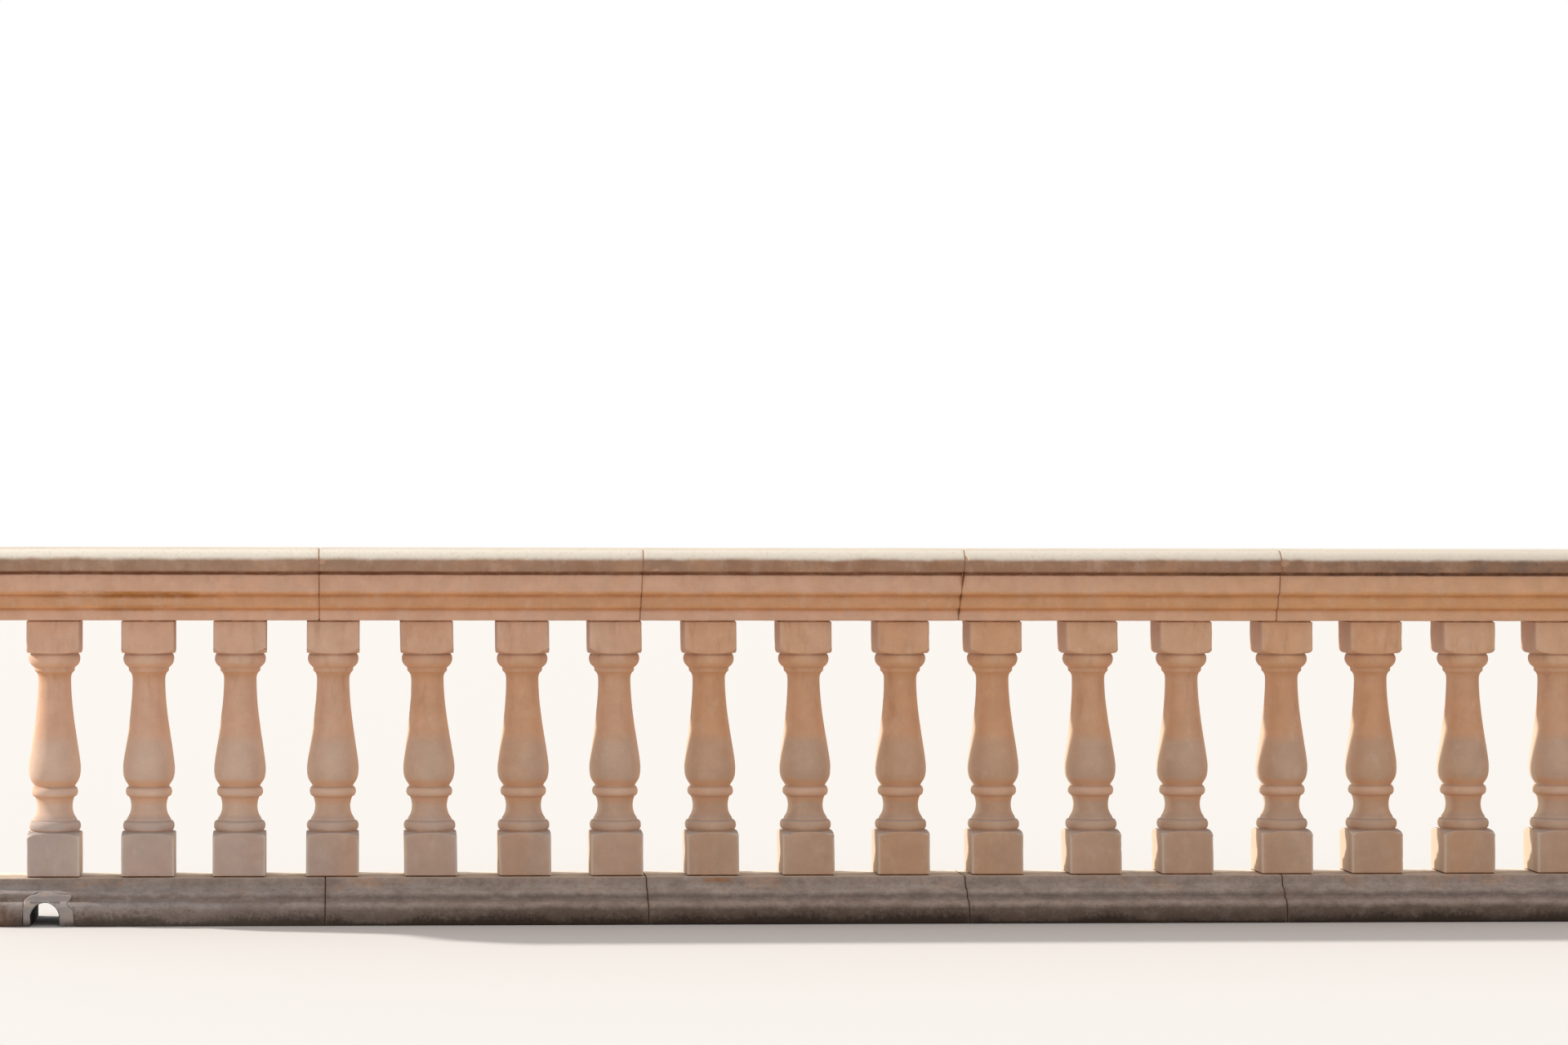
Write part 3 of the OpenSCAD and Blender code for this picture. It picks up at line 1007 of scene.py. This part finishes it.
    def mottle(self, strength):
        """Cloudy lighter and darker places and fine speckle over the colour."""
        clouds = self.span(
            self.noise(48, 5.0, 0.62, offset=11.0), 0.3, 0.7, 1 - strength, 1 + strength
        )
        weak = 0.6 * strength
        speckle = self.span(self.noise(3, 3.0, 0.7, offset=5.0), 0.3, 0.7, 1 - weak, 1 + weak)
        both = self.math("MULTIPLY", clouds, speckle)
        grey = self.add("ShaderNodeCombineColor", Red=both, Green=both, Blue=both).outputs[0]
        self.colour = self.mix(1.0, self.colour, grey, "MULTIPLY")

    def grain(self):
        """Height of the surface: fine grain, soft lumps and small open pores."""
        fine = self.noise(1.6, 2.0, 0.6)
        lumps = self.noise(9, 3.0, 0.6, offset=3.0)
        pores = self.patches(0.66, 0.74, 4.2, 2.0, 0.5, offset=7.0)
        total = self.math("ADD", self.math("MULTIPLY", fine, 0.35), self.math("MULTIPLY", lumps, 0.65))
        return self.math("SUBTRACT", total, self.math("MULTIPLY", pores, 0.5))

    def matte(self, low, high):
        """A roughness that varies between two values from place to place."""
        return self.span(self.noise(30, 3.0), 0.3, 0.7, low, high)

    def finish(self, roughness, bump_distance):
        """The finished material, with its grain as bump."""
        bump = self.add("ShaderNodeBump", Height=self.grain())
        bump.inputs["Distance"].default_value = bump_distance * MM
        bump.inputs["Strength"].default_value = 1.0
        shader = self.add(
            "ShaderNodeBsdfPrincipled", Base_Color=self.colour, Roughness=roughness, Normal=bump.outputs[0]
        )
        shader.inputs["Specular IOR Level"].default_value = SPECULAR
        out = self.add("ShaderNodeOutputMaterial", Surface=shader.outputs[0])
        out.is_active_output = True
        return self.material


def linear(colour):
    """A colour as seen, 0 to 255, as linear values."""
    seen = [c / 255 for c in colour]
    return tuple(c / 12.92 if c <= 0.04045 else ((c + 0.055) / 1.055) ** 2.4 for c in seen)


# The stone's colours, as seen in even light, and colours laid on as painted light and shade
# pale stone, and also the painted sunlight and highlights on the nose, the arrises and the plinth's top
BLEACHED_AND_LIT = (236, 227, 212)
DUSTED = (202, 192, 177)
# warm pale stone, and also painted sunlight on the balusters' sides
SUNNED_AND_LIT = (212, 190, 166)
PEACH = (206, 163, 137)
HONEY = (198, 148, 112)
# ochre stone, and also painted warm bounce light and shade under the members
OCHRE = (211, 152, 107)
AMBER = (202, 150, 96)
RUST = (160, 98, 30)
# brown dirt, and also painted shade under the handrail's slab and in the creases
EARTH_AND_SHADE = (140, 92, 60)
BUFF = (162, 130, 108)
ROSE = (203, 172, 153)
DUSK = (184, 150, 126)
LILAC = (172, 156, 150)
# grey stone, and also painted sky light on faces that look up
PEBBLE = (152, 143, 139)
TAUPE = (158, 140, 129)
CHALK = (168, 153, 143)
ASH = (143, 129, 121)
GREY = (130, 116, 108)
# painted warm light on the balusters' sides
WARM_RIM_LIGHT = (222, 180, 148)
# dark brown stone, and also painted shade in the plinth's creases
UMBER = (110, 93, 82)
# dark dirt, and also painted shade under the handrail's slab and on the drain's walls
SOOT_AND_SHADE = (50, 37, 28)

# Members as (height in millimetres, colour): the handrail's from its top down, the plinth's
# and a baluster's from the foot up, at the left end of the run and further along it
# In the handrail's members, the thin dark band under the slab is painted shade, and the two orange coves are
# painted warm light bounced up from below, with painted shade
RAIL_MEMBERS = (
    (59, BUFF), (6, EARTH_AND_SHADE), (44, PEACH), (13, OCHRE), (23, HONEY), (11, OCHRE), (25, PEACH),
)
# The plinth's lighter bands on its round and its cyma, which look up, are partly dust and partly painted sky
# light
PLINTH_MEMBERS_LEFT = ((44, ASH), (17, PEBBLE), (14, GREY), (20, PEBBLE), (20, ASH))
PLINTH_MEMBERS_RIGHT = ((44, UMBER), (17, TAUPE), (14, GREY), (20, CHALK), (20, TAUPE))
BALUSTER_MEMBERS_LEFT = (
    (107, LILAC), (27, LILAC), (59, ROSE), (26, ROSE), (120, ROSE), (148, PEACH), (19, HONEY),
    (45, PEACH), (80, PEACH),
)
BALUSTER_MEMBERS_RIGHT = (
    (107, DUSK), (27, DUSK), (59, DUSK), (26, PEACH), (120, DUSK), (148, HONEY), (19, HONEY),
    (45, HONEY), (80, PEACH),
)


def handrail_material():
    m = Nodes("handrail_stone")
    wander = m.sway(2.5, 70, 4.0, 0.6, (1, 1, 0.2))
    depth = m.math("SUBTRACT", RAIL_TOP / MM, m.math("ADD", m.z, wander))
    m.colour = m.bands(depth, RAIL_MEMBERS, 4)
    along = m.span(m.x, -2.3, 1.5, 0.0, 1.0, False)
    slab = m.span(depth, 57, 62, 1.0, 0.0)
    m.stain([along, slab], 0.55, EARTH_AND_SHADE)
    foxed = m.zone(m.x, -2.22, -1.86, 0.12)
    foxed_or_little = m.span(foxed, 0.0, 1.0, 0.30, 1.0, False)
    ragged = m.patches(0.36, 0.62, 80, 4.0, 0.6, (0.6, 1, 1.6), 4.0)
    upper_cove = m.zone(depth, 108, 125, 4)
    lower_cove = m.zone(depth, 142, 157, 4)
    m.stain([upper_cove, foxed_or_little, ragged], 0.85, RUST)
    m.stain([lower_cove, foxed_or_little, ragged], 0.50, RUST)
    # painted shade: a broken dark line under the slab's overhang
    under_slab_shade = m.zone(depth, 58, 66, 1.5)
    broken = m.span(m.noise(26, 4.0, 0.65, (1, 1, 0.3), 2.0), 0.34, 0.62, 0.25, 1.0)
    m.stain([under_slab_shade, broken], 0.14, SOOT_AND_SHADE)
    drips = m.patches(0.50, 0.72, 19, 3.0, 0.6, (1, 1, 0.15), 21.0)
    m.stain([drips, m.zone(depth, 64, 84, 6)], 0.14, EARTH_AND_SHADE)
    worn = m.patches(0.46, 0.66, 90, 4.0, 0.6, (0.8, 1, 1.2), 31.0)
    m.stain([worn], 0.28, HONEY)
    pale = m.patches(0.48, 0.70, 38, 5.0, 0.65, (1, 1, 0.5), 13.0)
    m.stain([pale], 0.28, ROSE)
    moulded = m.span(depth, 66, 72)
    m.stain([m.span(m.x, -0.6, 1.3), moulded], 0.30, AMBER)
    # the painted shade under the slab, darker towards the right
    m.stain([under_slab_shade, broken, m.span(m.x, 0.2, 1.2)], 0.45, SOOT_AND_SHADE)
    m.mottle(0.06)
    # painted shade in the creases
    m.stain([m.value("crease")], 0.20, EARTH_AND_SHADE)
    # painted sunlight: the nose is made pale down to a ragged line where the sun stops reaching it
    uneven = m.sway(2.5, 75, 7.0, 0.62, offset=15.0)
    lit_depth = m.math("ADD", depth, uneven)
    lit_nose = m.span(lit_depth, 20, 33, 1.0, 0.0)
    m.stain([lit_nose], 0.96, BLEACHED_AND_LIT)
    flat = m.span(m.up(), 0.86, 0.99)
    m.stain([flat], 0.85, DUSTED)
    patchy = m.patches(0.42, 0.66, 130, 5.0, 0.65, (0.7, 1, 1), 101.0)
    m.stain([patchy, flat], 0.35, LILAC)
    # the painted sunlight on the nose grows duller towards the right, and is specked
    m.stain([along, lit_nose], 0.70, DUSTED)
    speck = m.patches(0.52, 0.68, 9, 4.0, 0.75, (1, 1, 0.7), 9.0)
    m.stain([speck, lit_nose], 0.35, ROSE)
    frosted = m.patches(0.50, 0.66, 13, 5.0, 0.75, (1, 1, 0.8), 61.0)
    m.stain([frosted, m.span(depth, 52, 30)], 0.18, ROSE)
    dirty = m.patches(0.48, 0.66, 60, 4.0, 0.6, (1, 1, 1.0), 71.0)
    m.stain([dirty, m.span(depth, 28, 36), slab], 0.30, EARTH_AND_SHADE)
    greyed = m.patches(0.44, 0.64, 40, 5.0, 0.7, (0.8, 1, 1.4), 97.0)
    lower = m.span(depth, 22, 34)
    m.stain([greyed, m.span(m.x, 0.2, 1.5), slab, lower], 0.65, UMBER)
    m.stain([m.span(m.x, 0.3, 1.5), slab, lower], 0.28, UMBER)
    m.stain([m.value("fresh")], 0.6, PEACH)
    m.stain([m.value("joint")], 0.10, EARTH_AND_SHADE)
    return m.finish(m.matte(0.82, 0.94), 0.7)


def baluster_material():
    m = Nodes("baluster_stone")
    wander = m.sway(5, 50, 3.0, 0.5)
    height = m.math("ADD", m.math("SUBTRACT", m.z, bal_low.z / MM), wander)
    along = m.span(m.x, -2.4, -0.6, 0.0, 1.0, False)
    m.colour = m.mix(
        along,
        m.bands(height, BALUSTER_MEMBERS_LEFT, 14),
        m.bands(height, BALUSTER_MEMBERS_RIGHT, 14),
    )
    upper = m.span(height, 480, 560)
    m.stain([m.span(m.x, -1.4, 0.2), upper], 0.35, AMBER)
    each = m.noise(230, 1.0, 0.5, (1, 0, 0.2), 17.0)
    m.stain([m.span(each, 0.46, 0.62)], 0.30, HONEY)
    m.stain([m.span(each, 0.50, 0.38)], 0.22, ROSE)
    cloudy = m.patches(0.44, 0.66, 75, 4.0, 0.6, (1, 1, 0.7), 31.0)
    m.stain([cloudy], 0.14, HONEY)
    washed = m.patches(0.50, 0.74, 26, 3.0, 0.6, (1, 1, 0.25), 2.0)
    m.stain([washed, m.span(height, 330, 430)], 0.22, EARTH_AND_SHADE)
    pale = m.patches(0.50, 0.72, 34, 4.0, 0.6, (1, 1, 0.7), 13.0)
    m.stain([pale], 0.07, BLEACHED_AND_LIT)
    m.mottle(0.05)
    # painted warm rim light on the sides of the turned members
    sides = m.span(m.math("ABSOLUTE", m.facing(0)), 0.62, 0.98)
    turned = m.zone(height, 132, 528, 6)
    m.stain([sides, turned], 0.30, WARM_RIM_LIGHT)
    # painted sky light: faces that look up are turned grey
    m.stain([m.span(m.up(), 0.25, 0.85)], 0.55, PEBBLE)
    # painted warm light bounced up from below, on faces that look down
    under = m.span(m.up(), -0.15, -0.75)
    m.stain([under], 0.40, OCHRE)
    # painted warm shade under the small ring and at the foot of the belly
    warm = m.math("ADD", m.zone(height, 178, 198, 8), m.zone(height, 215, 236, 8))
    m.stain([warm], 0.40, OCHRE)
    # painted shade in the creases, weaker on the foot block and the torus
    hidden = m.span(height, 150, 240, 0.35, 1.0)
    m.stain([m.value("crease"), hidden], 0.40, EARTH_AND_SHADE)
    # painted highlights on the arrises, strongest on the foot block's upright arrises
    m.stain([m.value("arris")], 0.18, BLEACHED_AND_LIT)
    block = m.span(height, 104, 96)
    upright = m.span(m.math("ABSOLUTE", m.facing(0)), 0.12, 0.35)
    m.stain([m.value("arris"), block, upright], 0.55, BLEACHED_AND_LIT)
    # painted sunlight on the foot block's side faces
    m.stain([sides, block], 0.45, SUNNED_AND_LIT)
    head = m.span(height, 535, 548)
    m.stain([m.span(m.left(), 0.6, 0.9), head], 0.60, ROSE)
    # painted sunlight: the left sides are made pale where the light reaches between the stones, low down and
    # towards the back
    lower = m.span(height, 420, 340)
    m.stain([m.span(m.left(), 0.50, 0.95), m.span(m.y, -34, -10), lower], 0.85, SUNNED_AND_LIT)
    return m.finish(m.matte(0.84, 0.94), 0.55)


ORANGE_PATCH = (-0.64, -0.57)
DRAIN_SIDES = (-2.309, -2.235)


def inside_drain(m):
    """Factors that are all 1 on the walls of the drain, which don't face the front."""
    across = m.zone(m.x, *DRAIN_SIDES, 0.001)
    return [across, m.span(m.facing(1), -0.8, -0.4), m.span(m.z, 64, 60)]


def plinth_material():
    m = Nodes("plinth_stone")
    wander = m.sway(5, 45, 4.0, 0.6, (1, 1, 0.3))
    height = m.math("ADD", m.z, wander)
    along = m.span(m.x, -2.2, -0.9)
    m.colour = m.mix(
        along,
        m.bands(height, PLINTH_MEMBERS_LEFT, 6),
        m.bands(height, PLINTH_MEMBERS_RIGHT, 6),
    )
    rough_spots = m.patches(0.46, 0.62, 16, 5.0, 0.75, (1, 1, 1.3), 81.0)
    m.stain([rough_spots], 0.30, UMBER)
    chalky = m.patches(0.50, 0.64, 22, 5.0, 0.72, (0.8, 1, 1.6), 87.0)
    m.stain([chalky, m.span(m.z, 30, 60, 0.4, 1.0)], 0.30, LILAC)
    pitted = m.patches(0.58, 0.68, 7, 4.0, 0.7, offset=83.0)
    m.stain([pitted, m.span(m.z, 95, 40)], 0.40, SOOT_AND_SHADE)
    pale = m.patches(0.50, 0.70, 30, 5.0, 0.65, (1, 1, 0.9), 6.0)
    m.stain([pale], 0.22, LILAC)
    brown = m.patches(0.46, 0.66, 64, 5.0, 0.6, (0.7, 1, 1.2), 41.0)
    m.stain([brown], 0.30, UMBER)
    m.mottle(0.10)
    rust = m.patches(0.54, 0.70, 110, 3.0, 0.6, (1, 1, 2.0), 8.0)
    m.stain([rust, m.span(m.z, 50, 90)], 0.20, OCHRE)
    m.stain([m.zone(m.x, *ORANGE_PATCH, 0.015), m.zone(m.z, 101, 112, 3)], 0.55, RUST)
    # painted shade in the creases
    m.stain([m.value("crease")], 0.25, UMBER)
    # grime that climbs from the floor in a speckled fringe, higher in some places
    reach = m.noise(180, 2.0, 0.5, (1, 1, 0.2), 51.0)
    climb = m.span(m.noise(11, 6.0, 0.75, (1, 1, 0.9), 6.0), 0.30, 0.72, 4, 20, False)
    climb = m.math("MULTIPLY", climb, m.span(reach, 0.35, 0.65, 0.55, 1.9))
    grime = m.span(m.math("DIVIDE", m.z, climb), 0.3, 1.8, 1.0, 0.0)
    m.stain([grime, m.span(along, 0.0, 1.0, 0.75, 1.0)], 0.90, SOOT_AND_SHADE)
    m.stain([m.span(m.z, 46, 8), m.span(along, 0.0, 1.0, 0.6, 1.0)], 0.5, SOOT_AND_SHADE)
    soiled = m.patches(0.36, 0.62, 26, 5.0, 0.7, (1, 1, 0.8), 91.0)
    left_end = [m.span(m.x, -2.32, -2.38), m.span(m.z, 105, 30)]
    m.stain([soiled, *left_end], 0.65, SOOT_AND_SHADE)
    m.stain(left_end, 0.20, EARTH_AND_SHADE)
    m.stain([m.value("joint")], 0.35, UMBER)
    # painted shade on the drain's walls
    m.stain(inside_drain(m), 1.0, SOOT_AND_SHADE)
    top = [m.span(m.up(), 0.6, 0.95), m.span(m.z, 106, 111)]
    m.stain(top, 0.5, SUNNED_AND_LIT)
    # painted sunlight: the back part of the top is made pale, with a ragged front edge
    border = m.sway(16, 35, 5.0, 0.7, offset=103.0)
    back = m.span(m.math("ADD", m.y, border), -6, 24)
    m.stain([*top, back], 0.85, BLEACHED_AND_LIT)
    lichen = m.patches(0.50, 0.66, 45, 5.0, 0.72, offset=107.0)
    m.stain([*top, lichen], 0.45, PEBBLE)
    return m.finish(m.matte(0.84, 0.96), 0.9)


def mortar_material():
    m = Nodes("joint_mortar")
    m.colour = linear(HONEY)
    m.mottle(0.18)
    m.stain([m.span(m.z, 745, 735)], 0.5, EARTH_AND_SHADE)
    m.stain([m.span(m.z, 125, 110)], 0.7, SOOT_AND_SHADE)
    return m.finish(0.95, 1.2)


def repair_material():
    m = Nodes("repair_mortar")
    m.colour = linear(PEBBLE)
    m.mottle(0.08)
    warm = m.patches(0.45, 0.65, 40, 4.0, 0.6, offset=23.0)
    m.stain([warm], 0.35, DUSK)
    damp = m.span(m.z, 0.0, 26, 1.0, 0.0)
    m.stain([damp, m.patches(0.3, 0.6, 22, 4.0, 0.6)], 0.8, SOOT_AND_SHADE)
    # painted shade on the drain's walls
    m.stain(inside_drain(m), 1.0, SOOT_AND_SHADE)
    return m.finish(0.92, 0.8)


MATERIALS = {
    "handrail_stone": handrail_material(),
    "baluster_stone": baluster_material(),
    "plinth_stone": plinth_material(),
    "joint_mortar": mortar_material(),
    "repair_mortar": repair_material(),
}
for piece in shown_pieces():
    slot_name = piece.get("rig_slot", "joint_mortar")
    piece.data.materials.clear()
    piece.data.materials.append(MATERIALS[slot_name])


# Floor, light and background

FLOOR_COLOUR = (0.62, 0.60, 0.58, 1)
SUN_FROM = Vector((-1.0, 0.33, 0.70))
SUN_POWER = 4.0
SUN_WIDTH = 3  # degrees, for soft shadows
SUN_COLOUR = (1.0, 0.965, 0.91)
SKY_LIGHT = 0.80  # what the white surround gives as light, where 1 is what is seen of it

floor_mesh = bpy.data.meshes.new("floor")
floor_mesh.from_pydata([(-60, -20, 0), (60, -20, 0), (60, 45, 0), (-60, 45, 0)], [], [(0, 1, 2, 3)])
floor = add_object("floor", floor_mesh)
floor_look = bpy.data.materials.new("floor")
floor_look.use_nodes = True
floor_shader = floor_look.node_tree.nodes["Principled BSDF"]
floor_shader.inputs["Base Color"].default_value = FLOOR_COLOUR
floor_shader.inputs["Roughness"].default_value = 0.9
floor_mesh.materials.append(floor_look)

sun_data = bpy.data.lights.new("key", "SUN")
sun_data.energy = SUN_POWER
sun_data.angle = math.radians(SUN_WIDTH)
sun_data.color = SUN_COLOUR
sun = add_object("key", sun_data)
sun.matrix_world = SUN_FROM.to_track_quat("Z", "Y").to_matrix().to_4x4()

world = bpy.data.worlds.new("world")
bpy.context.scene.world = world
world.use_nodes = True
nodes, links = world.node_tree.nodes, world.node_tree.links
sky = nodes["Background"]
sky.inputs["Color"].default_value = (1, 1, 1, 1)
rays = nodes.new("ShaderNodeLightPath").outputs
seen = rays["Is Camera Ray"]
for other in ("Is Glossy Ray", "Is Transmission Ray"):
    either = nodes.new("ShaderNodeMath")
    either.operation = "MAXIMUM"
    links.new(seen, either.inputs[0])
    links.new(rays[other], either.inputs[1])
    seen = either.outputs[0]
level = nodes.new("ShaderNodeMapRange")
level.inputs["To Min"].default_value = SKY_LIGHT
level.inputs["To Max"].default_value = 1.0
links.new(seen, level.inputs["Value"])
links.new(level.outputs["Result"], sky.inputs["Strength"])

bpy.context.scene.view_settings.view_transform = "Standard"
